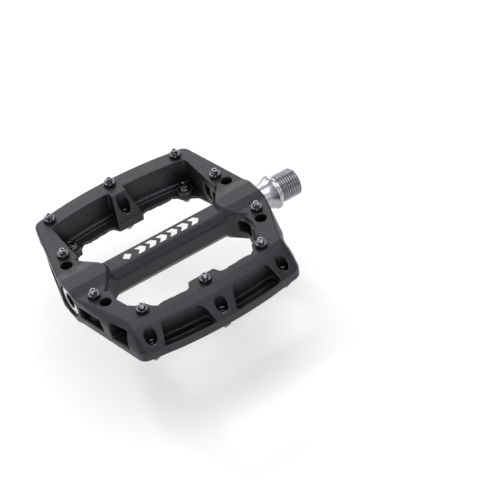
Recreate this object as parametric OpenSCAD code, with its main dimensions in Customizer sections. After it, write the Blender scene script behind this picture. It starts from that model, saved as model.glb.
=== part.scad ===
// Flat pedal for a bicycle crank. The axle runs along X with its crank end at +X.
// Everything is drawn about the middle of the platform, then moved so that the
// origin is the middle of the crank thread.

/* [Platform] */
// Length of the platform along the axle
platform_length = 106.6; // [104:0.2:110]
// Front to back size of the platform at its middle
platform_width = 110; // [108:0.5:113]
// Thickness of the platform beside the axle housing
platform_height = 16.8; // [16.2:0.1:17.6]
// Thickness over the axle housing at each end
housing_height = 19.4; // [19.2:0.1:21]
// Radius of the bow of the front and back rails, seen from above
rail_bow = 212; // [180:1:260]
// Upright height of each rail's outer edge
rail_edge = 5.2; // [4.8:0.1:5.8]
// How far each rail leans over from one face to the other
rail_lean = 11.8; // [11:0.1:12.6]
// Radius of the four outer corners
corner_radius = 4.5; // [3:0.1:6]
// Thickness of the upright wall inside each rail
web = 2; // [1.6:0.1:2.4]
// Thickness of the inner flange of each rail
flange_floor = 1.5; // [1.3:0.1:2]

/* [Spar] */
// Thickness of the spar between the two housings
spar_height = 15.8; // [15.2:0.1:16.6]
// Front to back size of the spar
spar_width = 13.6; // [13.2:0.1:15]
// Width of the flat face of the spar
spar_flat = 8.3; // [7.6:0.1:9]

/* [Traction pins] */
// Diameter of the pin screw
pin_diameter = 3; // [2.8:0.1:3.2]
// Height of a pin tip over the platform
pin_height = 4.1; // [3:0.1:5]
// Diameter of the head inside the platform
pin_head = 5.5; // [5.2:0.1:5.6]
// Distance of the corner pins from the middle, along the axle
corner_pin_out = 35.9; // [35.5:0.1:36.3]
// Size across the flats of the pin nut
nut_flats = 5.5; // [5.2:0.1:5.8]
// Height of the pin nut
nut_height = 1.8; // [1.5:0.1:2.2]

/* [Axle] */
// Outside diameter of the crank thread
thread_diameter = 14.29; // [14.1:0.01:14.4]
// Length from the crank face to the end of the thread
thread_length = 12.5; // [12:0.1:14]
// Diameter of the flange that meets the crank
flange_diameter = 17.5; // [16.5:0.1:18]
// Diameter of the journal that runs in the bush
journal_diameter = 12; // [11.6:0.1:12.2]
// Size across the flats of the hex socket in the crank end
axle_key = 8; // [6:0.5:8]

/* [Bearing] */
// Bore of the outboard bearing
bearing_bore = 8; // [8:0.1:8.2]
// Outside diameter of the outboard bearing
bearing_outside = 16; // [15.8:0.1:16]
// Width of the outboard bearing
bearing_width = 5; // [4.8:0.1:5.2]
// Number of balls
ball_count = 9; // [7:1:9]
// Ball diameter
ball_diameter = 2; // [1.8:0.05:2.1]

/* [View] */
// Sub-part to draw

/* [Hidden] */
$fn = 96;
half_length = platform_length / 2;
half_height = platform_height / 2;
half_housing = housing_height / 2;
edge_middle = platform_width / 2;
bow_centre = rail_bow - edge_middle;
crease_middle = edge_middle - rail_lean;

// Outer outline
side_start = 6;
side_start_narrow = 7.7;
corner_across = 43.4;
corner_across_narrow = 41.6;
corner_radius_narrow = 1;
edge_round = 0.6;
lean_radius = 29.3;
lean_steps = 4;
bow_steps = 12;
corner_steps = 5;

// Windows beside the spar
window_out = 38;
window_middle = edge_middle - 9.5;
window_corner = 2.5;
flare_far = 13.5;
flare_mid_out = 36;
flare_mid = 10;
flare_near_out = 33.4;
flange_middle = edge_middle - 16.2;
ledge_width = 1;
ledge_depth = 3.4;
tab_tip = 34.5;
tab_half = 6.6;
tab_root_half = 8.6;
lobe_x = [25.5, 27.8, 29.3, 33, 36, 38];
lobe_y = [38.2, 36.2, 32.8, 31.9, 29.3, 22];

// Boss at the middle of each rail
boss_back_half = 4.2;
boss_front_half = 6.9;
boss_crest = 42;
boss_brow = -3.3;
boss_heel = -5.9;

// Pockets in the leaning outer faces
pocket_low_in = 5.4;
pocket_low_out = 32;
pocket_high_in = 8.4;
pocket_high_out = 28.4;
pocket_high = 6;
pocket_ledge = -3.5;
pocket_step = 0.6;
pocket_lip = 1;
pocket_corner_out = 3.6;
pocket_corner_in = 6.4;
pocket_floor_corner = 2.8;

// Windows through the arms and the blind pockets beside the corners
arm_gap = [[-9.4, -3.5], [-25.5, -3.5], [-24.3, 3.5], [-9.4, 3.5]];
arm_gap_inner = 33;
arm_post = 1.2;
arm_post_at = 18;
arm_wall = 2;
corner_gap = [[-30.3, -4.1], [-42.6, -4.1], [-39.9, 5], [-29.7, 5]];
column = 8.2;

// Housing
housing_flat_half = 4.35;
housing_foot = 9.5;
ridge_inset = 0.3;
ridge_corner = 1.2;
housing_nose = 30;
nose_across = [0, 2.2, 4.1, 7, 15];
nose_back = [0, 0.3, 1.3, 3.7, 10.5];
nose_slope = 1.65;
spar_shoulder = 3.8;

// Pin stations on the upper face, each as distance along and across
seat = half_height - 3.9;
head_height = 3.1;
pin_tip = half_height + pin_height;
access = pin_head + 0.1;
clearance = pin_diameter + 0.2;
pin_key = 2.5;
pin_key_depth = 1.6;
pin_chamfer = 0.25;
pin_taper = 0.15;
pin_hollow = 1.4;
pin_hollow_depth = 1.1;
nut_chamfer = 0.45;
wide_middle_pin = 50.8;
wide_corner_pin = 47.3;
wide_side_pin = [42.9, 20.5];
narrow_side_pin = [45, -13.6];
narrow_corner_pin = [32.5, -36.65];
narrow_middle_pin = -39;
STATIONS = [
    [-corner_pin_out, wide_corner_pin],
    [0, wide_middle_pin],
    [corner_pin_out, wide_corner_pin],
    wide_side_pin,
    narrow_side_pin,
    narrow_corner_pin,
    [0, narrow_middle_pin],
    [-narrow_corner_pin[0], narrow_corner_pin[1]],
    [-narrow_side_pin[0], narrow_side_pin[1]],
    [-wide_side_pin[0], wide_side_pin[1]]
];

// Along the axle, measured from the middle of the platform
crank_face = 62.5;
flange_back = 61;
cone_start = 54;
relief_length = 2.4;
thread_chamfer = 0.9;
relief_diameter = 12.9;
shoulder_inner = 14.7;
shoulder_undercut = 0.5;
thread_middle = crank_face + (relief_length + thread_length - thread_chamfer) / 2;
key_depth = 9;
neck_diameter = 12.5;
journal_end = 37;
shaft_diameter = 9;
shaft_taper_end = 33.5;
bearing_start = -37;
spindle_end = -49;
nut_thread_diameter = 7.5;

// Fits round the axle
bore_mid = 10.6;
bush_wall = 1;
bush_start = 34.5;
bush_length = 14.5;
bush_play = 0.04;
bush_lip = 1.2;
bush_lip_diameter = 16.4;
seal_start = 50.4;
seal_outside = 17;
seal_width = 2.6;
seal_play = 0.06;
race_wall = 1.2;
race_clear = 0.6;
pitch_radius = (bearing_bore + bearing_outside) / 4;
ball_play = 0.05;
shield_thickness = 0.4;
shield_recess = 0.1;
cage_half = 0.45;
cage_band = 1.35;
nut_washer = 0.8;
nut_washer_diameter = 10.4;
axle_nut_height = 4;
axle_nut_flats = 11;
cap_recess = 1;
cap_face = cap_recess - half_length;
cap_depth = 2.6;
cap_diameter = 15.4;
cap_neck = 1.9;
cap_groove_diameter = 13;
cap_key = 6;
ring_width = 1;
cap_bore = bearing_outside;

PINS = [for (i = [1 : 2 * len(STATIONS)]) str("pin_", i < 10 ? "0" : "", i)];
BALLS = [for (i = [1 : ball_count]) str("bearing_ball_", i)];

function bow(middle, x) =
    let (r = bow_centre + middle)
    sqrt(r * r - x * x) - bow_centre;

// Corner of a polygon turned into a short run of points on a tangent arc
function fillet(before, corner, after, radius) =
    let (
        a = (before - corner) / norm(before - corner),
        b = (after - corner) / norm(after - corner),
        half = acos(a * b) / 2,
        middle = (a + b) / norm(a + b),
        centre = corner + middle * radius / sin(half),
        start = corner + a * radius / tan(half) - centre,
        sweep = 180 - 2 * half,
        turn = (a[0] * b[1] - a[1] * b[0]) > 0 ? -1 : 1
    )
    [for (i = [0 : corner_steps])
        let (t = turn * sweep * i / corner_steps)
        centre + [start[0] * cos(t) - start[1] * sin(t), start[0] * sin(t) + start[1] * cos(t)]];

function mirrored(points) = [for (i = [len(points) - 1 : -1 : 0]) [-points[i][0], points[i][1]]];

// Outline of the far side at one level; lean is 0 at the wide edge and 1 at the narrow one
function side_outline(lean, middle, inset) =
    let (
        across = corner_across + (corner_across_narrow - corner_across) * lean - inset,
        radius = corner_radius + (corner_radius_narrow - corner_radius) * lean,
        start = side_start + (side_start_narrow - side_start) * lean,
        corner = [across, bow(middle, across) - inset],
        next = across - 3 * radius,
        half = concat(
            [[half_length - inset, start]],
            fillet([half_length - inset, start], corner, [next, bow(middle, next) - inset], radius),
            [for (i = [bow_steps / 2 - 1 : -1 : 1]) let (x = next * 2 * i / bow_steps)
                [x, bow(middle, x) - inset]])
    )
    concat(half, [[0, middle - inset]], mirrored(half));

// Half way round the leaning face the outline follows a large arc
function lean_point(t) =
    let (
        chord = [rail_lean, platform_height - rail_edge],
        half = asin(norm(chord) / 2 / lean_radius),
        mid = atan2(chord[1], chord[0]),
        turn = mid + half - 2 * half * t,
        start = mid + half
    )
    lean_radius * [sin(start) - sin(turn), cos(turn) - cos(start)];

module half_turn() {
    children();
    rotate([180, 0, 0]) children();
}

module both_ends() {
    children();
    mirror([1, 0, 0]) children();
}

function ring_at(z, points) = [for (p = points) [p[0], p[1], z]];

function turned_over(points) = [for (p = points) [p[0], -p[1], -p[2]]];

// Solid through rings of points that all have the same number of points
module skin(rings) {
    size = len(rings[0]);
    hull() polyhedron(
        points = [for (r = rings) for (p = r) p],
        faces = [for (i = [0 : len(rings) - 1]) [for (j = [0 : size - 1]) i * size + j]]);
}

module envelope() {
    upper = concat(
        [ring_at(half_height, side_outline(0, edge_middle, edge_round)),
         ring_at(half_height - edge_round, side_outline(0, edge_middle, 0))],
        [for (i = [0 : lean_steps])
            let (t = i / lean_steps, step = lean_point(t))
            ring_at(half_height - rail_edge - step[1], side_outline(t, edge_middle - step[0], 0))]);
    skin(concat(upper, [for (r = upper) turned_over(r)]));
}

module housing_ridges() {
    end = half_length - ridge_inset;
    corner = [end - ridge_corner, housing_foot + 1];
    plan = [[end, side_start], [end, -side_start], [corner[0], -corner[1]],
            [-corner[0], -corner[1]], [-end, -side_start], [-end, side_start],
            [-corner[0], corner[1]], corner];
    section = [[housing_foot, half_height], [housing_flat_half, half_housing],
               [-housing_flat_half, half_housing], [-housing_foot, half_height],
               [-housing_foot, -half_height], [-housing_flat_half, -half_housing],
               [housing_flat_half, -half_housing], [housing_foot, -half_height]];
    intersection() {
        linear_extrude(height = 2 * half_housing + 2, center = true) polygon(plan);
        rotate([90, 0, 90]) linear_extrude(height = platform_length + 2, center = true)
            polygon(section);
    }
}

// Plan of the far window, spar side included
function flare() = [[window_out, flare_far], [flare_mid_out, flare_mid],
    [flare_near_out, spar_width / 2 + 0.4], [flare_near_out - 2.6, spar_width / 2]];

module window_plan(middle) {
    top = bow(middle, window_out);
    half = concat(
        [for (i = [3 : -1 : 0]) flare()[i]],
        fillet([window_out, flare_far], [window_out, top],
               [window_out - 5, bow(middle, window_out - 5)], window_corner),
        [for (x = [30 : -6 : 6]) [x, bow(middle, x)]]);
    polygon(concat(half, [[0, middle]], mirrored(half)));
}

module flange_plan() {
    lobe = [for (i = [5 : -1 : 0]) [lobe_x[i], lobe_y[i]]];
    half = concat(
        [for (i = [3 : -1 : 0]) flare()[i]],
        lobe,
        [for (x = [22 : -4 : 10]) [x, bow(flange_middle, x)]],
        [[tab_root_half, flange_middle - 0.7], [tab_half + 0.6, tab_tip + 0.7],
         [tab_half - 0.4, tab_tip]]);
    polygon(concat(half, mirrored(half)));
}

module window() {
    floor_level = -half_height + flange_floor;
    translate([0, 0, floor_level + ledge_depth - flange_floor])
        linear_extrude(height = 2 * half_housing) window_plan(window_middle);
    translate([0, 0, floor_level])
        linear_extrude(height = half_height) window_plan(window_middle - ledge_width);
    translate([0, 0, -half_housing - 1])
        linear_extrude(height = half_housing + 2) flange_plan();
}

module rail_boss() {
    intersection() {
        linear_extrude(height = platform_height, center = true)
            polygon([[-boss_back_half, window_middle + 1], [-boss_back_half, boss_crest],
                     [-boss_front_half, tab_tip], [boss_front_half, tab_tip],
                     [boss_back_half, boss_crest], [boss_back_half, window_middle + 1]]);
        rotate([90, 0, 90]) linear_extrude(height = 4 * boss_front_half, center = true)
            polygon([[tab_tip, -half_height], [crease_middle - 0.7, -half_height],
                     [window_middle + 1, boss_heel], [window_middle + 1, half_height],
                     [boss_crest, half_height], [tab_tip, boss_brow]]);
    }
}

module corner_boss() {
    translate([narrow_corner_pin[0], -narrow_corner_pin[1], -half_height])
        cylinder(h = half_height - seat, d = column);
}

// Pocket in the leaning outer face of the near rail, drawn on the +X side
module rail_pocket(inset, low, lip) {
    inner = pocket_low_in + inset;
    outer = pocket_low_out - inset;
    wall = window_middle + web + inset;
    outline = concat(
        [[inner, low], [outer, low]],
        fillet([outer, low], [pocket_high_out - inset, pocket_high],
               [pocket_high_in, pocket_high], pocket_corner_out),
        fillet([pocket_high_out, pocket_high], [pocket_high_in + inset, pocket_high],
               [inner, low], pocket_corner_in));
    plan = concat(
        fillet([inner, -edge_middle], [inner, -bow(wall, inner)],
               [inner + 8, -bow(wall, inner + 8)], pocket_floor_corner),
        [for (x = [inner + 8 : 5 : outer - 5]) [x, -bow(wall, x)]],
        fillet([outer - 5, -bow(wall, outer - 5)], [outer, -bow(wall, outer)],
               [outer, -edge_middle], pocket_floor_corner),
        [for (i = [5 : -1 : 0]) let (x = inner + (outer - inner) * i / 5)
            [x, -bow(edge_middle - lip, x)]]);
    intersection() {
        translate([0, -40, 0]) rotate([90, 0, 0]) linear_extrude(height = 20) polygon(outline);
        linear_extrude(height = 2 * half_housing, center = true) polygon(plan);
    }
}

module arm_cut(start, outline) {
    translate([start, 0, 0]) rotate([90, 0, 90]) linear_extrude(height = half_length)
        polygon(outline);
}

module arm_gaps() {
    difference() {
        arm_cut(arm_gap_inner, arm_gap);
        translate([window_out, -arm_post_at - arm_post / 2, -half_height])
            cube([arm_wall, arm_post, platform_height]);
        for (p = [narrow_side_pin, [wide_side_pin[0], -wide_side_pin[1]]])
            translate([p[0], p[1], 0]) cylinder(h = platform_height, d = column, center = true);
    }
    arm_cut(window_out + arm_wall, corner_gap);
}

// Everything above and beside the spar, between the rounded noses of the two housings
module spar_relief() {
    relief = half_housing - spar_height / 2;
    shoulder = spar_height / 2 - spar_shoulder;
    difference() {
        rotate([90, 0, 90]) linear_extrude(height = 2 * housing_nose + 22, center = true)
            polygon([[-spar_flat / 2, spar_height / 2], [spar_flat / 2, spar_height / 2],
                     [spar_width / 2, spar_shoulder], [housing_foot + 5, spar_shoulder],
                     [housing_foot + 5, half_housing + 1],
                     [-housing_foot - 5, half_housing + 1], [-housing_foot - 5, spar_shoulder],
                     [-spar_width / 2, spar_shoulder]]);
        both_ends() nose(relief + shoulder + 1);
    }
}

module nose(rise) {
    last = len(nose_across) - 1;
    slope = nose_slope / (half_housing - spar_height / 2);
    foot = [for (i = [0 : last]) [housing_nose + nose_back[i] - slope * (rise - 1.8), nose_across[i]]];
    crest = [for (p = foot) [p[0] + slope * (rise + 1), p[1]]];
    skin([for (edge = [[foot, spar_shoulder - 1], [crest, half_housing + 1]])
        ring_at(edge[1], concat([for (i = [last : -1 : 1]) [edge[0][i][0], -edge[0][i][1]]],
            edge[0], [[housing_nose + 30, nose_across[last]],
            [housing_nose + 30, -nose_across[last]]]))]);
}

module axle_bores() {
    rotate([0, 90, 0]) {
        cylinder(h = 2 * half_length + 2, d = bore_mid, center = true);
        translate([0, 0, bush_start]) cylinder(h = 40, d = journal_diameter + 2 * bush_wall);
        translate([0, 0, bush_start + bush_length - bush_lip])
            cylinder(h = 40, d = bush_lip_diameter);
        translate([0, 0, seal_start - 0.2]) cylinder(h = 40, d = seal_outside);
        translate([0, 0, -half_length - 1])
            cylinder(h = bearing_start + half_length + 1 , d = cap_bore);
    }
}

module pin_bores() {
    half_turn() for (p = STATIONS) translate([p[0], p[1], 0]) {
        translate([0, 0, -half_housing - 1]) cylinder(h = seat + half_housing + 1, d = access);
        cylinder(h = half_housing + 1, d = clearance);
    }
}

module shell() {
    difference() {
        union() {
            envelope();
            housing_ridges();
        }
        half_turn() window();
    }
}

module lightened() {
    difference() {
        shell();
        half_turn() both_ends() {
            rail_pocket(0, pocket_ledge, -2);
            rail_pocket(pocket_step, -half_height + flange_floor, pocket_lip);
        }
        half_turn() both_ends() arm_gaps();
    }
}

module platform() {
    color([0.09, 0.09, 0.1]) difference() {
        union() {
            difference() {
                lightened();
                half_turn() spar_relief();
            }
            half_turn() {
                rail_boss();
                both_ends() corner_boss();
            }
        }
        axle_bores();
        pin_bores();
    }
}

module ring(start, width, outside, inside) {
    translate([start, 0, 0]) rotate([0, 90, 0]) difference() {
        cylinder(h = width, d = outside);
        translate([0, 0, -1]) cylinder(h = width + 2, d = inside);
    }
}

module turned(profile) {
    rotate([0, 90, 0]) rotate_extrude() polygon(profile);
}

module axle() {
    cone = [for (i = [0 : 6]) let (t = i / 6)
        [neck_diameter / 2 + (flange_diameter - neck_diameter) / 2 * pow(t, 1.8),
         cone_start + (flange_back - cone_start) * t]];
    end = crank_face + thread_length;
    thread = thread_diameter / 2;
    color([0.75, 0.76, 0.77]) difference() {
        turned(concat(
            [[0, spindle_end], [nut_thread_diameter / 2 - 0.5, spindle_end],
             [nut_thread_diameter / 2, spindle_end + 0.5],
             [nut_thread_diameter / 2, bearing_start - bearing_width - nut_washer],
             [bearing_bore / 2, bearing_start - bearing_width - nut_washer],
             [bearing_bore / 2, bearing_start], [shaft_diameter / 2, bearing_start],
             [shaft_diameter / 2, shaft_taper_end], [journal_diameter / 2, journal_end],
             [journal_diameter / 2, cone_start - 1]],
            cone,
            [[flange_diameter / 2, crank_face], [shoulder_inner / 2, crank_face],
             [relief_diameter / 2, crank_face - shoulder_undercut],
             [relief_diameter / 2, crank_face + relief_length - 0.6],
             [thread, crank_face + relief_length], [thread, end - thread_chamfer],
             [thread - thread_chamfer, end], [0, end]]));
        translate([end - key_depth, 0, 0]) rotate([0, 90, 0])
            cylinder(h = key_depth + 1, d = axle_key / cos(30), $fn = 6);
    }
}

module bush() {
    color([0.45, 0.42, 0.36]) turned([
        [journal_diameter / 2 + bush_play, bush_start],
        [journal_diameter / 2 + bush_wall, bush_start],
        [journal_diameter / 2 + bush_wall, bush_start + bush_length - bush_lip],
        [bush_lip_diameter / 2, bush_start + bush_length - bush_lip],
        [bush_lip_diameter / 2, bush_start + bush_length],
        [journal_diameter / 2 + bush_play, bush_start + bush_length]]);
}

module seal() {
    run = journal_diameter / 2 + seal_play;
    color([0.05, 0.05, 0.05]) turned([
        [run, seal_start], [seal_outside / 2, seal_start],
        [seal_outside / 2, seal_start + seal_width],
        [run + 1.6, seal_start + seal_width],
        [run + 0.9, seal_start + seal_width - 0.8],
        [run, seal_start + seal_width - 0.8]]);
}

module bearing_outer_race() {
    inside = bearing_outside / 2 - race_wall;
    middle = bearing_start - bearing_width / 2;
    color([0.7, 0.7, 0.71]) rotate([0, 90, 0]) rotate_extrude() difference() {
        translate([inside, bearing_start - bearing_width])
            square([race_wall, bearing_width]);
        translate([pitch_radius, middle]) circle(r = ball_diameter / 2 + ball_play);
    }
}

module bearing_inner_race() {
    color([0.7, 0.7, 0.71]) rotate([0, 90, 0]) rotate_extrude() difference() {
        translate([bearing_bore / 2, bearing_start - bearing_width])
            square([race_wall, bearing_width]);
        translate([pitch_radius, bearing_start - bearing_width / 2])
            circle(r = ball_diameter / 2 + ball_play);
    }
}

module ball_places() {
    for (i = [0 : ball_count - 1]) rotate([i * 360 / ball_count, 0, 0])
        translate([bearing_start - bearing_width / 2, pitch_radius, 0]) children();
}

module bearing_cage() {
    color([0.6, 0.5, 0.3]) difference() {
        ring(bearing_start - bearing_width / 2 - cage_band, 2 * cage_band,
             2 * (pitch_radius + cage_half), 2 * (pitch_radius - cage_half));
        ball_places() rotate([-90, 0, 0])
            cylinder(h = 2, d = ball_diameter + 0.2, center = true);
    }
}

module bearing_ball(i) {
    color([0.8, 0.8, 0.8]) rotate([i * 360 / ball_count, 0, 0])
        translate([bearing_start - bearing_width / 2, pitch_radius, 0])
            sphere(d = ball_diameter);
}

module bearing_shield(start) {
    color([0.08, 0.08, 0.08]) ring(start, shield_thickness,
        bearing_outside - 2 * race_wall, bearing_bore + 2 * race_wall + race_clear);
}

module axle_washer() {
    color([0.6, 0.6, 0.6]) ring(bearing_start - bearing_width - nut_washer, nut_washer,
        nut_washer_diameter, bearing_bore);
}

module axle_nut() {
    start = bearing_start - bearing_width - nut_washer;
    color([0.62, 0.63, 0.64]) difference() {
        translate([start - axle_nut_height, 0, 0]) rotate([0, 90, 0])
            cylinder(h = axle_nut_height, d = axle_nut_flats / cos(30), $fn = 6);
        translate([start - axle_nut_height - 1, 0, 0]) rotate([0, 90, 0])
            cylinder(h = axle_nut_height + 2, d = nut_thread_diameter);
    }
}

module end_cap() {
    cap = cap_diameter / 2;
    groove = cap_groove_diameter / 2;
    color([0.8, 0.8, 0.8]) difference() {
        turned([[0, cap_face], [cap - 0.5, cap_face], [cap, cap_face + 0.5],
                [cap, cap_face + cap_depth - ring_width],
                [groove, cap_face + cap_depth - ring_width],
                [groove, cap_face + cap_depth], [0, cap_face + cap_depth]]);
        translate([cap_face - 1, 0, 0]) rotate([0, 90, 0])
            cylinder(h = cap_neck + 1, d = cap_key / cos(30), $fn = 6);
    }
}

module cap_ring() {
    color([0.04, 0.04, 0.04]) ring(cap_face + cap_depth - ring_width, ring_width, cap_bore,
        cap_groove_diameter);
}

module pin(p) {
    screw = pin_diameter / 2;
    tip = screw - pin_taper;
    translate([p[0], p[1], 0]) color([0.55, 0.55, 0.57]) difference() {
        rotate_extrude() polygon([
            [0, seat - head_height], [pin_head / 2 - 0.3, seat - head_height],
            [pin_head / 2, seat - head_height + 0.3], [pin_head / 2, seat], [screw, seat],
            [screw, half_height + nut_height], [tip, pin_tip - pin_chamfer],
            [tip - pin_chamfer, pin_tip], [0, pin_tip]]);
        translate([0, 0, seat - head_height - 1])
            cylinder(h = pin_key_depth + 1, d = pin_key / cos(30), $fn = 6);
        translate([0, 0, pin_tip - pin_hollow_depth])
            cylinder(h = pin_hollow_depth + 1, d = pin_hollow);
    }
}

module pin_nuts() {
    corner = nut_flats / 2 / cos(30);
    color([0.5, 0.5, 0.52]) for (p = STATIONS) translate([p[0], p[1], half_height])
        difference() {
            intersection() {
                cylinder(h = nut_height, r = corner, $fn = 6);
                rotate_extrude() polygon([[0, 0], [corner + 1, 0],
                    [corner + 1, nut_height - nut_chamfer - 1],
                    [corner - nut_chamfer, nut_height], [0, nut_height]]);
            }
            translate([0, 0, -1]) cylinder(h = nut_height + 2, d = pin_diameter);
        }
}

translate([-thread_middle, 0, 0]) {
    platform();
    axle();
    bush();
    seal();
    bearing_outer_race();
    bearing_inner_race();
    bearing_cage();
    bearing_shield(bearing_start - shield_thickness - shield_recess);  // bearing_shield_inboard
    bearing_shield(bearing_start - bearing_width + shield_recess);  // bearing_shield_outboard
    axle_washer();
    axle_nut();
    end_cap();
    cap_ring();
    pin_nuts();  // pin_nuts_upper
    rotate([180, 0, 0]) pin_nuts();  // pin_nuts_lower
    for (i = [0 : len(STATIONS) - 1]) {
        pin(STATIONS[i]);
        rotate([180, 0, 0]) pin(STATIONS[i]);
    }
    for (i = [0 : ball_count - 1])
        bearing_ball(i);
}
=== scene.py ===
import bmesh
import bpy
import math
import random
from mathutils import Matrix, Vector


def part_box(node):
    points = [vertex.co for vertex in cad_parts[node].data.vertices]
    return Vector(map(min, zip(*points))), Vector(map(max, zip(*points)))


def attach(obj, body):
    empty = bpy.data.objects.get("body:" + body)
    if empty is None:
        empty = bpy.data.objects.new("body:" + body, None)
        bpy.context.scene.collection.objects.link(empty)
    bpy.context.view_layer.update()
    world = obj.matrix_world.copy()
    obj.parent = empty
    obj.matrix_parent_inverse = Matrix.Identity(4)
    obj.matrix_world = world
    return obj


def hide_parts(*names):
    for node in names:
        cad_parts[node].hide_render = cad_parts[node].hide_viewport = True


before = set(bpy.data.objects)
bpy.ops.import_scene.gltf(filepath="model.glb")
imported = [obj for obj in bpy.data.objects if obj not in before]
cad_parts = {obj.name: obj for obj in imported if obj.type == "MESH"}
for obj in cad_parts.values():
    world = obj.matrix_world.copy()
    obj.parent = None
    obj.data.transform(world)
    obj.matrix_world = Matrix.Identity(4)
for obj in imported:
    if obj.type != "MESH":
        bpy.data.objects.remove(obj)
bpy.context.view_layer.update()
print("frame loaded:", len(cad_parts), "nodes")

mm = 0.001
platformLow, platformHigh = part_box("platform")
middleX = (platformLow[0] + platformHigh[0]) / 2  # middle of the platform along the axle
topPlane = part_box("pin_nuts_upper")[0][2]  # upper face beside the housings


def newMaterial(name):
    mat = bpy.data.materials.new(name)
    mat.use_nodes = True
    tree = mat.node_tree
    shader = tree.nodes["Principled BSDF"]
    return mat, tree, shader


def objectCoords(tree):
    return tree.nodes.new("ShaderNodeTexCoord").outputs["Object"]


def noiseNode(tree, vector, scale, detail=2.0, rough=0.5, distort=0.0):
    node = tree.nodes.new("ShaderNodeTexNoise")
    node.inputs["Scale"].default_value = scale
    node.inputs["Detail"].default_value = detail
    node.inputs["Roughness"].default_value = rough
    node.inputs["Distortion"].default_value = distort
    tree.links.new(vector, node.inputs["Vector"])
    return node.outputs["Fac"]


def spread(tree, value, fromLow, fromHigh, toLow, toHigh):
    node = tree.nodes.new("ShaderNodeMapRange")
    node.inputs["From Min"].default_value = fromLow
    node.inputs["From Max"].default_value = fromHigh
    node.inputs["To Min"].default_value = toLow
    node.inputs["To Max"].default_value = toHigh
    tree.links.new(value, node.inputs["Value"])
    return node.outputs["Result"]


def blendColours(tree, factor, first, second):
    # first and second are colours, or sockets that carry one
    node = tree.nodes.new("ShaderNodeMix")
    node.data_type = "RGBA"
    for slot, colour in ((6, first), (7, second)):
        if hasattr(colour, "is_output"):
            tree.links.new(colour, node.inputs[slot])
        else:
            node.inputs[slot].default_value = (*colour, 1)
    tree.links.new(factor, node.inputs[0])
    return node.outputs[2]


def bump(tree, height, strength, distance, below=None):
    node = tree.nodes.new("ShaderNodeBump")
    node.inputs["Strength"].default_value = strength
    node.inputs["Distance"].default_value = distance
    tree.links.new(height, node.inputs["Height"])
    if below:
        tree.links.new(below, node.inputs["Normal"])
    return node.outputs["Normal"]


def pointiness(tree, low, high):
    geo = tree.nodes.new("ShaderNodeNewGeometry")
    return spread(tree, geo.outputs["Pointiness"], low, high, 0, 1)


def latheCoords(tree, alongScale, aroundScale):
    # distance along the axle and out from it: rings of tool marks on turned and faced surfaces
    split = tree.nodes.new("ShaderNodeSeparateXYZ")
    tree.links.new(objectCoords(tree), split.inputs[0])
    flat = tree.nodes.new("ShaderNodeCombineXYZ")
    tree.links.new(split.outputs["Y"], flat.inputs["Y"])
    tree.links.new(split.outputs["Z"], flat.inputs["Z"])
    length = tree.nodes.new("ShaderNodeVectorMath")
    length.operation = "LENGTH"
    tree.links.new(flat.outputs[0], length.inputs[0])
    out = tree.nodes.new("ShaderNodeCombineXYZ")
    tree.links.new(split.outputs["X"], out.inputs["X"])
    tree.links.new(length.outputs["Value"], out.inputs["Y"])
    scaled = tree.nodes.new("ShaderNodeVectorMath")
    scaled.operation = "MULTIPLY"
    scaled.inputs[1].default_value = (alongScale, aroundScale, 1)
    tree.links.new(out.outputs[0], scaled.inputs[0])
    return scaled.outputs[0]


# how much of a noise's range is used, for soft clouds and for grain
cloudBand = (0.35, 0.65)
grainBand = (0.3, 0.7)

mouldedNylon = {
    "dark": (0.0045, 0.0047, 0.0056),
    "light": (0.0090, 0.0095, 0.0110),
    # painted highlight colour for the edges
    "paintedEdgeHighlight": (0.080, 0.084, 0.094),
    "speck": (0.030, 0.032, 0.037),
    "sheen": (0.88, 0.93, 1.0, 1),
    "ior": 1.53,
    "gloss": (0.07, 0.44),
    "mottle": (0.72, 1.28),
    "hollowReach": 0.009,
    "hollowBand": (0.25, 0.85),
    "hollowSamples": 8,
    "roughness": (0.34, 0.48),
    "cloudScale": 55,
    "grainScale": 2600,
    "fineScale": 900,
    "speckBand": (0.55, 0.72),
    "speckShare": 0.8,
    "edgeBand": (0.52, 0.60),
    "edgeShare": 0.7,
    "fineBump": (0.08, 0.00012),
    "grainBump": (0.5, 0.00006),
}


def makeNylon():
    look = mouldedNylon
    mat, tree, shader = newMaterial("mouldedNylon")
    coords = objectCoords(tree)
    clouds = noiseNode(tree, coords, look["cloudScale"], 4, 0.6)
    grain = noiseNode(tree, coords, look["grainScale"], 3, 0.7)
    fine = noiseNode(tree, coords, look["fineScale"], 2, 0.5)
    base = blendColours(tree, spread(tree, clouds, *cloudBand, 0, 1), look["dark"], look["light"])
    speckled = blendColours(tree, spread(tree, grain, *look["speckBand"], 0, look["speckShare"]),
                            base, look["speck"])
    # painted highlight: edges found by pointiness are lightened toward a pale grey
    edges = pointiness(tree, *look["edgeBand"])
    paintedEdgeHighlight = blendColours(tree, spread(tree, edges, 0, 1, 0, look["edgeShare"]),
                        speckled, look["paintedEdgeHighlight"])
    tree.links.new(paintedEdgeHighlight, shader.inputs["Base Color"])
    tree.links.new(spread(tree, fine, *grainBand, *look["roughness"]), shader.inputs["Roughness"])
    shader.inputs["IOR"].default_value = look["ior"]
    # painted shade: less sheen inside pockets, where ambient occlusion is low, and a fine mottle
    # over the open faces
    hollow = tree.nodes.new("ShaderNodeAmbientOcclusion")
    hollow.inputs["Distance"].default_value = look["hollowReach"]
    hollow.samples = look["hollowSamples"]
    gloss = tree.nodes.new("ShaderNodeMath")
    gloss.operation = "MULTIPLY"
    tree.links.new(spread(tree, hollow.outputs["AO"], *look["hollowBand"], *look["gloss"]),
                   gloss.inputs[0])
    tree.links.new(spread(tree, grain, *grainBand, *look["mottle"]), gloss.inputs[1])
    tree.links.new(gloss.outputs[0], shader.inputs["Specular IOR Level"])
    shader.inputs["Specular Tint"].default_value = look["sheen"]
    soft = bump(tree, fine, *look["fineBump"])
    tree.links.new(bump(tree, grain, *look["grainBump"], soft), shader.inputs["Normal"])
    return mat


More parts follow.
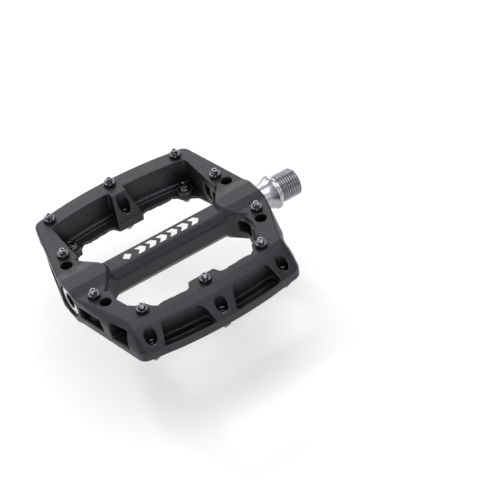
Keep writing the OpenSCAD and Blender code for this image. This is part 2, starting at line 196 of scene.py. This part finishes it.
def paintedGrooveShade(tree, tone, groove):
    # painted shade: darker towards the root of a thread that starts at one distance along the axle
    split = tree.nodes.new("ShaderNodeSeparateXYZ")
    tree.links.new(latheCoords(tree, 1, 1), split.inputs[0])
    depth = spread(tree, split.outputs["Y"], groove["root"], groove["crest"], 1, 0)
    past = spread(tree, split.outputs["X"], groove["start"], groove["full"], 0, 1)
    both = tree.nodes.new("ShaderNodeMath")
    both.operation = "MULTIPLY"
    tree.links.new(depth, both.inputs[0])
    tree.links.new(past, both.inputs[1])
    return blendColours(tree, both.outputs[0], tone, groove["colour"])


def makeMetal(name, look):
    mat, tree, shader = newMaterial(name)
    rings = noiseNode(tree, latheCoords(tree, *look["marks"]), 1, 3, 0.65)
    clouds = noiseNode(tree, objectCoords(tree), look["cloudScale"], 3, 0.6)
    tone = blendColours(tree, spread(tree, clouds, *cloudBand, 0, 1), look["dark"], look["light"])
    if "groove" in look:
        tone = paintedGrooveShade(tree, tone, look["groove"])
    tree.links.new(tone, shader.inputs["Base Color"])
    shader.inputs["Metallic"].default_value = 1
    tree.links.new(spread(tree, rings, *grainBand, *look["roughness"]), shader.inputs["Roughness"])
    tree.links.new(bump(tree, rings, look["markBump"], markDepth), shader.inputs["Normal"])
    return mat


def makeDull(name, look):
    mat, tree, shader = newMaterial(name)
    coords = objectCoords(tree)
    clouds = noiseNode(tree, coords, look["scale"], 4, 0.6)
    grain = noiseNode(tree, coords, look["scale"] * 9, 2, 0.6)
    tree.links.new(blendColours(tree, spread(tree, clouds, *cloudBand, 0, 1),
                                look["dark"], look["light"]), shader.inputs["Base Color"])
    shader.inputs["Metallic"].default_value = look["metallic"]
    tree.links.new(spread(tree, grain, *grainBand, *look["roughness"]), shader.inputs["Roughness"])
    tree.links.new(bump(tree, grain, look["grainBump"], grainDepth), shader.inputs["Normal"])
    return mat


markDepth = 0.00002
grainDepth = 0.00004

metalLooks = {
    "satinAxleSteel": {
        "dark": (0.36, 0.365, 0.385), "light": (0.46, 0.465, 0.49), "roughness": (0.20, 0.31),
        "marks": (7000, 7000), "markBump": 0.25, "cloudScale": 400,
        # painted shade colour for the thread roots
        "groove": {"root": 0.0063, "crest": 0.0067, "start": middleX + 0.0644,
                   "full": middleX + 0.0646, "colour": (0.17, 0.17, 0.18)},
    },
    "brightCap": {
        "dark": (0.58, 0.58, 0.60), "light": (0.70, 0.70, 0.72), "roughness": (0.16, 0.28),
        "marks": (6000, 9000), "markBump": 0.2, "cloudScale": 400,
    },
    "polishedPin": {
        "dark": (0.24, 0.24, 0.255), "light": (0.42, 0.42, 0.44), "roughness": (0.06, 0.15),
        "marks": (4000, 4000), "markBump": 0.06, "cloudScale": 900,
    },
    "polishedNut": {
        "dark": (0.06, 0.06, 0.066), "light": (0.13, 0.13, 0.14), "roughness": (0.08, 0.18),
        "marks": (3000, 3000), "markBump": 0.06, "cloudScale": 900,
    },
    # painted shade for the insides of hex sockets
    "socketShade": {
        "dark": (0.012, 0.012, 0.013), "light": (0.022, 0.022, 0.024), "roughness": (0.35, 0.5),
        "marks": (9000, 9000), "markBump": 0.1, "cloudScale": 400,
    },
    "groundSteel": {
        "dark": (0.55, 0.55, 0.56), "light": (0.66, 0.66, 0.67), "roughness": (0.18, 0.30),
        "marks": (9000, 9000), "markBump": 0.1, "cloudScale": 400,
    },
}
dullLooks = {
    "pressedBrass": {"dark": (0.42, 0.29, 0.11), "light": (0.56, 0.40, 0.17), "metallic": 1.0,
                     "roughness": (0.28, 0.42), "scale": 500, "grainBump": 0.1},
    "bushPolymer": {"dark": (0.16, 0.14, 0.11), "light": (0.24, 0.21, 0.16), "metallic": 0.0,
                    "roughness": (0.5, 0.65), "scale": 500, "grainBump": 0.15},
    "sealRubber": {"dark": (0.012, 0.012, 0.012), "light": (0.024, 0.024, 0.024), "metallic": 0.0,
                   "roughness": (0.6, 0.8), "scale": 700, "grainBump": 0.2},
    "printInk": {"dark": (0.62, 0.62, 0.63), "light": (0.80, 0.80, 0.81), "metallic": 0.0,
                 "roughness": (0.45, 0.6), "scale": 900, "grainBump": 0.12},
}
nylon = makeNylon()
metals = {name: makeMetal(name, look) for name, look in metalLooks.items()}
dulls = {name: makeDull(name, look) for name, look in dullLooks.items()}
print("materials made")


def paint(obj, mat):
    if not obj.material_slots:
        obj.data.materials.append(mat)
        return
    for place in obj.material_slots:
        place.material = mat


def finishPiece(obj, mat, body, sharpAngle):
    obj.data.materials.clear()
    obj.data.materials.append(mat)
    for poly in obj.data.polygons:
        poly.use_smooth = True
    obj.data.set_sharp_from_angle(angle=math.radians(sharpAngle))
    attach(obj, body)


def paintSocketShade(obj, start, end, reach):
    # painted shade: a second, near-black material on the faces of a blind socket along the axle
    obj.data.materials.append(metals["socketShade"])
    for poly in obj.data.polygons:
        place = poly.center
        inside = math.hypot(place.y, place.z) < reach * mm
        if inside and start * mm < place.x - middleX < end * mm:
            poly.material_index = 1


def addObject(name, mesh):
    obj = bpy.data.objects.new(name, mesh)
    bpy.context.scene.collection.objects.link(obj)
    return obj


def turnedMesh(name, rings, segments, alongX=True, closed=False):
    # rings are functions of the angle that give (distance along, radius)
    verts = []
    for ring in rings:
        for k in range(segments + 1):
            angle = math.tau * k / segments
            along, radius = ring(angle)
            a = radius * math.cos(angle)
            b = radius * math.sin(angle)
            verts.append((along, a, b) if alongX else (a, b, along))
    faces = []
    count = segments + 1
    last = len(rings) if closed else len(rings) - 1
    for j in range(last):
        upper = (j + 1) % len(rings)
        for k in range(segments):
            faces.append((j * count + k, j * count + k + 1, upper * count + k + 1,
                          upper * count + k))
    mesh = bpy.data.meshes.new(name)
    mesh.from_pydata(verts, [], faces)
    bm = bmesh.new()
    bm.from_mesh(mesh)
    bmesh.ops.remove_doubles(bm, verts=bm.verts, dist=1e-7)
    bmesh.ops.recalc_face_normals(bm, faces=bm.faces)
    bm.to_mesh(mesh)
    bm.free()
    return mesh


def ring(along, radius):
    return lambda angle: (along, radius)


def hexRadius(angle, flats):
    # distance out to a hexagon that has a corner at angle zero
    return flats / 2 / math.cos(angle % (math.pi / 3) - math.pi / 6)


def hexRing(along, flats, grow=0.0):
    return lambda angle: (along, hexRadius(angle, flats) + grow)


# rows along one pitch of a rounded sixty degree thread, root first
threadRows = (0, 0.125, 0.17, 0.25, 0.33, 0.40, 0.4375, 0.5,
              0.5625, 0.60, 0.67, 0.75, 0.83, 0.875)


def threadRings(start, end, pitch, major, depth, startRadius, leadIn, endRadius, leadOut):
    # rows follow the helix, so each crest lies along one row
    def envelope(along):
        return min(startRadius + (along - start) / leadIn * (major - startRadius),
                   endRadius + (end - along) / leadOut * (major - endRadius), major)

    def profile(place):
        rise = min(max((0.375 - abs(place - 0.5)) / 0.3125, 0), 1)
        return major - depth * (1 - rise * (0.65 + 0.35 * rise * (3 - 2 * rise) * rise))

    def row(offset, radius):
        def place(angle):
            along = offset + pitch * (1 - angle / math.tau)
            if along <= start:
                return start, startRadius
            if along >= end:
                return end, endRadius
            return along, min(radius, envelope(along))
        return place

    turns = math.ceil((end - start) / pitch) + 1
    return [row(start + (turn - 1 + place) * pitch, profile(place))
            for turn in range(turns) for place in threadRows]


def scaled(rings, shift):
    # rings drawn in millimetres from the middle of the platform, in metres in the frame
    def one(source):
        def place(angle):
            along, radius = source(angle)
            return along * mm + shift, radius * mm
        return place
    return [one(source) for source in rings]


platformFinish = {"voxel": 0.40, "soften": 0.5, "softenSteps": 3, "keepFaces": 0.34}


def finishPlatform():
    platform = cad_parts["platform"]
    melt = platform.modifiers.new("melt", "REMESH")
    melt.mode = "VOXEL"
    melt.voxel_size = platformFinish["voxel"] * mm
    melt.use_smooth_shade = True
    soften = platform.modifiers.new("soften", "SMOOTH")
    soften.factor = platformFinish["soften"]
    soften.iterations = platformFinish["softenSteps"]
    thin = platform.modifiers.new("thin", "DECIMATE")
    thin.ratio = platformFinish["keepFaces"]
    paint(platform, nylon)


finishPlatform()
print("platform finished")


axleShape = {
    "spindleEnd": -49, "endBevel": 0.5, "tipInset": 0.6, "nutThreadRadius": 3.75,
    "nutPitch": 1.0, "nutDepth": 0.5, "nutLead": 0.2, "nutRun": 0.4, "washerFace": -42.8,
    "boreRadius": 4, "bearingFace": -37, "shaftRadius": 4.5, "taperStart": 33.5, "taperEnd": 37,
    "journalRadius": 6, "coneStart": 54, "coneRadius": 6.25, "coneSteps": 14, "coneCurve": 1.8,
    "flangeBack": 61, "flangeRadius": 8.75, "rimRound": 0.12, "rimBevel": 0.2,
    "crankFace": 62.5, "shoulderInner": 7.35, "undercut": 0.5, "undercutFillet": (0.2, 0.25),
    "reliefRadius": 6.45, "threadStart": 64.9, "threadRadius": 7.145, "threadDepth": 0.78,
    "pitch": 1.27, "runIn": (0.6, 0.7), "end": 75, "endChamfer": 0.9, "segments": 96,
    "key": 8, "keyDepth": 9, "keyBevel": 0.35, "keyPoint": 1.2, "sharp": 32,
}


def coneRings(s):
    rings = []
    for i in range(s["coneSteps"] + 1):
        t = i / s["coneSteps"]
        rise = s["flangeRadius"] - s["rimRound"] - s["coneRadius"]
        rings.append(ring(s["coneStart"] + (s["flangeBack"] - s["coneStart"]) * t,
                          s["coneRadius"] + rise * t ** s["coneCurve"]))
    return rings


def makeAxle():
    s = axleShape
    tip = s["nutThreadRadius"]
    tailEnd = s["washerFace"] + s["nutRun"]
    before, lead = s["runIn"]
    filletLong, filletOut = s["undercutFillet"]
    flange = s["flangeRadius"]
    mouth = hexRadius(0, s["key"])
    socketEnd = s["end"] - s["keyDepth"]
    rings = [ring(s["spindleEnd"], 0), ring(s["spindleEnd"], tip - s["tipInset"]),
             ring(s["spindleEnd"] + s["endBevel"], tip)]
    rings += threadRings(s["spindleEnd"] + s["endBevel"], tailEnd, s["nutPitch"], tip,
                         s["nutDepth"], tip, s["nutLead"], tip - s["nutDepth"], s["endBevel"])
    rings += [ring(tailEnd, tip - s["nutDepth"]), ring(tailEnd, s["boreRadius"]),
              ring(s["bearingFace"], s["boreRadius"]), ring(s["bearingFace"], s["shaftRadius"]),
              ring(s["taperStart"], s["shaftRadius"]), ring(s["taperEnd"], s["journalRadius"]),
              ring(s["coneStart"] - 1, s["journalRadius"])]
    rings += coneRings(s)
    rings += [ring(s["flangeBack"] + s["rimRound"], flange),
              ring(s["crankFace"] - s["rimBevel"], flange),
              ring(s["crankFace"], flange - s["rimBevel"]),
              ring(s["crankFace"], s["shoulderInner"]),
              ring(s["crankFace"] - s["undercut"], s["reliefRadius"] + filletOut),
              ring(s["crankFace"] - s["undercut"] + filletLong, s["reliefRadius"])]
    rings += threadRings(s["threadStart"] - before, s["end"], s["pitch"], s["threadRadius"],
                         s["threadDepth"], s["reliefRadius"], lead,
                         s["threadRadius"] - s["endChamfer"], s["endChamfer"])
    rings += [ring(s["end"], mouth + s["keyBevel"]),
              hexRing(s["end"] - s["keyBevel"], s["key"]), hexRing(socketEnd, s["key"]),
              ring(socketEnd - s["keyPoint"], 0)]
    mesh = turnedMesh("axleSpindle", scaled(rings, middleX), s["segments"])
    obj = addObject("axleSpindle", mesh)
    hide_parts("axle")
    finishPiece(obj, metals["satinAxleSteel"], "axle", s["sharp"])
    paintSocketShade(obj, socketEnd - s["keyPoint"] - 0.1, s["end"] - s["keyBevel"] - 0.05,
                 mouth + 0.05)


makeAxle()
print("axle made")


capShape = {
    "recess": 1.0, "depth": 2.6, "radius": 7.7, "grooveRadius": 6.5, "ringWidth": 1,
    "rimBevel": ((0, 0.75), (0.12, 0.4), (0.5, 0)),
    "key": 6, "keyDepth": 1.9, "keyBevel": 0.35,
    # the margin is how far the painted socket shade reaches past the mouth
    "mouthDish": ((0.08, 0.15), (0.05, 0.6), (0, 0.9)), "shadeMargin": 0.5,
    "segments": 96, "sharp": 30,
}


def makeEndCap():
    s = capShape
    face = s["recess"] - (platformHigh[0] - platformLow[0]) / 2 / mm
    back = face + s["depth"]
    groove = back - s["ringWidth"]
    mouth = hexRadius(0, s["key"])
    rings = [ring(face + s["keyDepth"], 0), hexRing(face + s["keyDepth"], s["key"]),
             hexRing(face + s["keyBevel"], s["key"])]
    rings += [ring(face + deep, mouth + out) for deep, out in s["mouthDish"]]
    rings += [ring(face + deep, s["radius"] - inward) for deep, inward in s["rimBevel"]]
    rings += [ring(groove, s["radius"]), ring(groove, s["grooveRadius"]),
              ring(back, s["grooveRadius"]), ring(back, 0)]
    obj = addObject("endCap", turnedMesh("endCap", scaled(rings, middleX), s["segments"]))
    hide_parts("end_cap")
    finishPiece(obj, metals["brightCap"], "platform", s["sharp"])
    paintSocketShade(obj, face + 0.02, face + s["keyDepth"] + 0.1, mouth + s["shadeMargin"])


makeEndCap()
print("end cap made")


pinShape = {
    "headBase": 1.4, "headRadius": 2.75, "seat": 4.5, "screwRadius": 1.5, "tip": 12.5,
    "tipRadius": 1.35, "tipChamfer": 0.25, "hollowRadius": 0.7, "hollowRim": (0.14, 0.12),
    "hollowDepth": 1.1, "hollowPoint": 0.3, "key": 2.5, "keyDepth": 1.6, "keyPoint": 0.4,
    "keyBevel": (0.2, 0.18), "headBevel": ((0, 0.45), (0.1, 0.18), (0.32, 0)),
    "seatBevel": 0.15, "nutTop": 10.2, "segments": 48, "sharp": 40, "turnSeed": 11,
}
nutShape = {
    "flats": 5.5, "height": 1.8, "chamfer": 0.45, "bore": 1.5, "foot": 0.12, "mouth": 0.25,
    "edge": 0.07, "edgeAngle": 28, "segments": 72, "sharp": 40,
}


def pinMesh():
    s = pinShape
    base = s["headBase"]
    socket = base + s["keyDepth"]
    keyDeep, keyOut = s["keyBevel"]
    rimDeep, rimOut = s["hollowRim"]
    tip = s["tipRadius"]
    chamfer = s["tipChamfer"]
    rings = [ring(socket + s["keyPoint"], 0), hexRing(socket, s["key"]),
             hexRing(base + keyDeep, s["key"]), ring(base, hexRadius(0, s["key"]) + keyOut)]
    rings += [ring(base + deep, s["headRadius"] - inward) for deep, inward in s["headBevel"]]
    rings += [ring(s["seat"] - s["seatBevel"], s["headRadius"]),
              ring(s["seat"], s["headRadius"] - s["seatBevel"]),
              ring(s["seat"], s["screwRadius"]), ring(s["nutTop"], s["screwRadius"]),
              ring(s["tip"] - chamfer, tip), ring(s["tip"] - chamfer * 0.3, tip - chamfer * 0.4),
              ring(s["tip"], tip - chamfer), ring(s["tip"], s["hollowRadius"] + rimOut),
              ring(s["tip"] - rimDeep, s["hollowRadius"]),
              ring(s["tip"] - s["hollowDepth"], s["hollowRadius"]),
              ring(s["tip"] - s["hollowDepth"] - s["hollowPoint"], 0)]
    return turnedMesh("tractionPin", scaled(rings, 0), s["segments"], alongX=False)


def pinPlaces():
    places = []
    for number in range(1, 21):
        low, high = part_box(f"pin_{number:02d}")
        places.append((number, (low[0] + high[0]) / 2, (low[1] + high[1]) / 2,
                       low[2] < -topPlane))
    return places


def makePins():
    mesh = pinMesh()
    turner = random.Random(pinShape["turnSeed"])
    for number, x, y, lower in pinPlaces():
        obj = addObject(f"tractionPin{number:02d}", mesh.copy())
        flip = Matrix.Rotation(math.pi, 4, "X") if lower else Matrix.Identity(4)
        spin = Matrix.Rotation(turner.uniform(0, math.tau), 4, "Z")
        obj.data.transform(Matrix.Translation((x, y, 0)) @ flip @ spin)
        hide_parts(f"pin_{number:02d}")
        finishPiece(obj, metals["polishedPin"], "platform", pinShape["sharp"])
        # painted shade: the head, down inside the platform, takes the dark nut finish
        obj.data.materials.append(metals["polishedNut"])
        for poly in obj.data.polygons:
            if abs(poly.center.z) < (pinShape["seat"] + 0.05) * mm:
                poly.material_index = 1


def nutMesh():
    s = nutShape
    top = s["height"]
    shoulder = hexRadius(0, s["flats"]) - s["chamfer"]

    def crown(angle):
        reach = hexRadius(angle, s["flats"])
        return top - max(reach - shoulder, 0), reach

    rings = [ring(0, s["bore"]), hexRing(0, s["flats"], -s["foot"]),
             hexRing(s["foot"], s["flats"]), crown,
             ring(top, min(shoulder, s["flats"] / 2 - 0.02)),
             ring(top, s["bore"] + s["mouth"]), ring(top - s["mouth"], s["bore"])]
    return turnedMesh("pinNut", scaled(rings, 0), s["segments"], alongX=False, closed=True)


def makeNuts():
    for name, node, lower in (("pinNutsUpper", "pin_nuts_upper", False),
                              ("pinNutsLower", "pin_nuts_lower", True)):
        bm = bmesh.new()
        for number, x, y, isLower in pinPlaces():
            if isLower != lower:
                continue
            nut = nutMesh()
            flip = Matrix.Rotation(math.pi, 4, "X") if lower else Matrix.Identity(4)
            nut.transform(flip @ Matrix.Translation((0, 0, topPlane)))
            nut.transform(Matrix.Translation((x, y, 0)))
            bm.from_mesh(nut)
        mesh = bpy.data.meshes.new(name)
        bm.to_mesh(mesh)
        bm.free()
        obj = addObject(name, mesh)
        edge = obj.modifiers.new("edge", "BEVEL")
        edge.width = nutShape["edge"] * mm
        edge.segments = 2
        edge.limit_method = "ANGLE"
        edge.angle_limit = math.radians(nutShape["edgeAngle"])
        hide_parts(node)
        finishPiece(obj, metals["polishedNut"], "platform", nutShape["sharp"])


makePins()
makeNuts()
print("pins and nuts made")


sparPrint = {
    "flat": 7.9, "lift": 0.03, "sink": 0.12, "height": 4.6, "diamondAt": -19.6,
    "diamondHalf": 2.4, "first": -14.5, "step": 5.9, "bars": 6, "width": 3.4, "lean": 1.9,
    "edge": 0.015, "sharp": 30,
}


def printOutlines():
    s = sparPrint
    half = s["height"] / 2
    centre = s["diamondAt"]
    outlines = [[(centre - s["diamondHalf"], 0), (centre, -half), (centre + s["diamondHalf"], 0),
                 (centre, half)]]
    for i in range(s["bars"]):
        x = s["first"] + i * s["step"]
        outlines.append([(x, -half), (x + s["width"], -half), (x + s["width"] + s["lean"], 0),
                         (x + s["width"], half), (x, half), (x + s["lean"], 0)])
    return outlines


def makePrint():
    s = sparPrint
    for name, side in (("sparPrintUpper", 1), ("sparPrintLower", -1)):
        bm = bmesh.new()
        for outline in printOutlines():
            level = side * (s["flat"] - s["sink"]) * mm
            base = [bm.verts.new((x * mm + middleX, side * y * mm, level)) for x, y in outline]
            face = bm.faces.new(base)
            grown = bmesh.ops.extrude_face_region(bm, geom=[face])
            lifted = [v for v in grown["geom"] if isinstance(v, bmesh.types.BMVert)]
            bmesh.ops.translate(bm, verts=lifted, vec=(0, 0, side * (s["lift"] + s["sink"]) * mm))
        bmesh.ops.recalc_face_normals(bm, faces=bm.faces)
        mesh = bpy.data.meshes.new(name)
        bm.to_mesh(mesh)
        bm.free()
        obj = addObject(name, mesh)
        edge = obj.modifiers.new("edge", "BEVEL")
        edge.width = s["edge"] * mm
        edge.segments = 1
        finishPiece(obj, dulls["printInk"], "platform", s["sharp"])


makePrint()
print("print made")


innerFinish = {
    "bush": dulls["bushPolymer"], "seal": dulls["sealRubber"], "cap_ring": dulls["sealRubber"],
    "bearing_shield_inboard": dulls["sealRubber"], "bearing_shield_outboard": dulls["sealRubber"],
    "bearing_outer_race": metals["groundSteel"], "bearing_inner_race": metals["groundSteel"],
    "axle_washer": metals["groundSteel"], "axle_nut": metals["groundSteel"],
    "bearing_cage": dulls["pressedBrass"],
}
for nodeName, finish in innerFinish.items():
    paint(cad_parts[nodeName], finish)
for nodeName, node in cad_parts.items():
    if nodeName.startswith("bearing_ball"):
        paint(node, metals["groundSteel"])
print("inner pieces finished")


studio = {
    "floorTone": 0.93, "floorSpread": 0.02, "floorRoughness": 0.9, "floorSheen": 0.1,
    "floorSize": 6.0, "skyStrength": 0.46,
    "floorLevel": -0.058,  # below the reach of the rails, so the platform can turn over
    # name, size, power, place from the middle of the platform, all in metres and watts
    "lamps": [
        ("overhead", (1.0, 0.8), 5.4, (0.05, -0.20, 0.95)),
        ("behind", (1.0, 0.8), 5.0, (0.25, 0.95, 0.50)),
        ("left", (0.5, 0.8), 1.7, (-0.9, 0.1, 0.5)),
        ("front", (0.8, 0.6), 1.5, (0.1, -0.9, 0.5)),
        ("glint", (0.10, 0.10), 1.3, (-0.25, 0.70, 0.80)),
    ],
}
lens = {"azimuth": -25.9957, "elevation": 42.2271, "roll": -10.586, "focal": 121.9,
        "sensor": 36, "place": (-228.26, -558.52, 536.19)}


def makeFloor():
    s = studio
    bpy.ops.mesh.primitive_plane_add(size=s["floorSize"], location=(middleX, 0, s["floorLevel"]))
    floor = bpy.context.object
    floor.name = "floor"
    mat, tree, shader = newMaterial("paleFloor")
    coords = objectCoords(tree)
    tone = s["floorTone"]
    clouds = noiseNode(tree, coords, 3, 2, 0.5)
    tree.links.new(blendColours(tree, clouds, (tone,) * 3, (tone + s["floorSpread"],) * 3),
                   shader.inputs["Base Color"])
    shader.inputs["Roughness"].default_value = s["floorRoughness"]
    shader.inputs["Specular IOR Level"].default_value = s["floorSheen"]
    floor.data.materials.append(mat)


def makeLights():
    world = bpy.data.worlds.new("studioSky")
    world.use_nodes = True
    bpy.context.scene.world = world
    sky = world.node_tree.nodes["Background"]
    sky.inputs["Color"].default_value = (1, 1, 1, 1)
    sky.inputs["Strength"].default_value = studio["skyStrength"]
    target = Vector((middleX, 0, 0))
    for name, size, power, place in studio["lamps"]:
        light = bpy.data.lights.new(name, "AREA")
        light.shape = "RECTANGLE"
        light.size, light.size_y = size
        light.energy = power
        lamp = bpy.data.objects.new(name, light)
        bpy.context.scene.collection.objects.link(lamp)
        lamp.location = target + Vector(place)
        lamp.rotation_euler = (target - lamp.location).to_track_quat("-Z", "Y").to_euler()


def makeCamera():
    azimuth = math.radians(lens["azimuth"])
    elevation = math.radians(lens["elevation"])
    roll = math.radians(lens["roll"])
    back = Vector((math.sin(azimuth) * math.cos(elevation),
                   -math.cos(azimuth) * math.cos(elevation), math.sin(elevation)))
    level = Vector((math.cos(azimuth), math.sin(azimuth), 0))
    rise = back.cross(level)
    right = level * math.cos(roll) + rise * math.sin(roll)
    up = rise * math.cos(roll) - level * math.sin(roll)
    place = Vector(lens["place"]) * mm + Vector((middleX, 0, 0))
    data = bpy.data.cameras.new("camera")
    data.lens = lens["focal"]
    data.sensor_width = lens["sensor"]
    data.clip_start = 0.05
    camera = bpy.data.objects.new("camera", data)
    bpy.context.scene.collection.objects.link(camera)
    camera.matrix_world = Matrix((
        (right.x, up.x, back.x, place.x),
        (right.y, up.y, back.y, place.y),
        (right.z, up.z, back.z, place.z),
        (0, 0, 0, 1)))
    bpy.context.scene.camera = camera


makeFloor()
makeLights()
makeCamera()
bpy.context.scene.view_settings.view_transform = "Standard"
print("studio ready")
